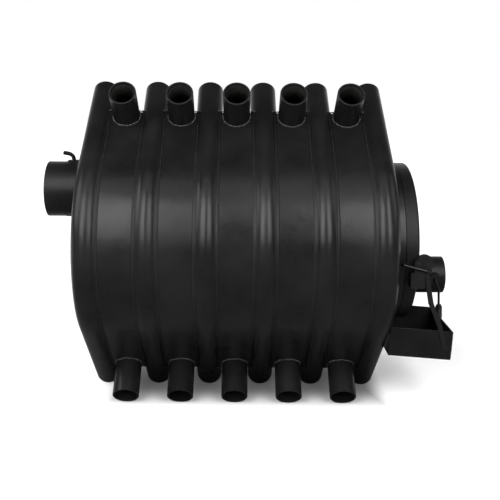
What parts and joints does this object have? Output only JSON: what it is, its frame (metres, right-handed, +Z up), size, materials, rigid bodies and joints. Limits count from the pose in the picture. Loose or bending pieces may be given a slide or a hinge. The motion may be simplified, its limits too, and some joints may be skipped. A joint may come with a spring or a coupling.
{
  "type": "bent-pipe wood stove",
  "caption": "Bent-pipe hot-air wood stove with a round sealed door, throttled air inlet, eccentric toggle latch, flue collar with damper and a hanging ash tray.",
  "frame": {"origin": "on the floor under the middle of the overall length", "axes": "+X from the flue to the door, +Y to the hinge side, +Z up; the picture looks along +Y"},
  "size_m": [0.8732, 0.463, 0.6985],
  "materials": {
    "black_paint": "heat-resistant black paint, satin",
    "inner_paint": "the same paint inside the firebox, matt",
    "bare_steel": "bare drawn steel rod and wire",
    "seal_rope": "braided heat-proof rope"
  },
  "bodies": {
    "body": {"near_pipe_1": "black_paint", "near_pipe_2": "black_paint", "near_pipe_3": "black_paint", "near_pipe_4": "black_paint", "near_pipe_5": "black_paint", "near_pipe_6": "black_paint", "far_pipe_1": "black_paint", "far_pipe_2": "black_paint", "far_pipe_3": "black_paint", "far_pipe_4": "black_paint", "far_pipe_5": "black_paint", "near_panel_1": "black_paint", "near_panel_2": "black_paint", "near_panel_3": "black_paint", "near_panel_4": "black_paint", "near_panel_5": "black_paint", "far_panel_1": "black_paint", "far_panel_2": "black_paint", "far_panel_3": "black_paint", "far_panel_4": "black_paint", "far_panel_5": "black_paint", "far_panel_6": "black_paint", "front_plate": "black_paint", "rear_plate": "black_paint", "baffle": "inner_paint", "injector_tubes": "inner_paint", "flue_collar": "black_paint", "damper_boss": "black_paint", "door_neck": "black_paint", "latch_keeper": "black_paint", "hinge_bracket": "black_paint", "hinge_pin": "bare_steel", "tray_cleat": "black_paint"},
    "door": {"door_shell": "black_paint", "seal_channel": "black_paint", "seal_rope": "seal_rope", "heat_shield": "inner_paint", "shield_spacers": "inner_paint", "shield_studs": "bare_steel", "hinge_strap": "black_paint", "inlet_tube": "black_paint", "latch_bracket": "black_paint", "latch_pin": "bare_steel"},
    "damper": {"damper_disc": "inner_paint", "damper_shaft": "black_paint", "damper_rivets": "bare_steel"},
    "throttle": {"throttle_disc": "inner_paint", "throttle_shaft": "black_paint", "throttle_grip": "bare_steel", "throttle_spring": "bare_steel"},
    "lever": {"latch_lever": "black_paint"},
    "link": {"latch_link": "bare_steel"},
    "tray": {"ash_tray": "black_paint", "tray_hooks": "black_paint"}
  },
  "joints": [
    {"name": "door_swing", "type": "hinge", "parent": "body", "child": "door", "pos_m": [0.33439, 0.192, 0.35666], "axis": [0, 0, 1], "range_deg": [0, 120]},
    {"name": "latch_lift", "type": "hinge", "parent": "door", "child": "lever", "pos_m": [0.33739, -0.1777, 0.34366], "axis": [0, -1, 0], "range_deg": [0, 90]},
    {"name": "link_turn", "type": "hinge", "parent": "lever", "child": "link", "pos_m": [0.35629, -0.1899, 0.32861], "axis": [0, -1, 0], "range_deg": [-90, 0]},
    {"name": "throttle_turn", "type": "hinge", "parent": "door", "child": "throttle", "pos_m": [0.40439, 0, 0.27766], "axis": [0, -1, 0], "range_deg": [0, 80]},
    {"name": "damper_turn", "type": "hinge", "parent": "body", "child": "damper", "pos_m": [-0.38261, 0, 0.46366], "axis": [0, 0, 1], "range_deg": [0, 90]},
    {"name": "tray_lift", "type": "slide", "parent": "body", "child": "tray", "axis": [0, 0, 1], "range_m": [0, 0.012]}
  ],
  "couplings": [
    {"joint": "link_turn", "follows": "latch_lift", "ratio": -1}
  ]
}
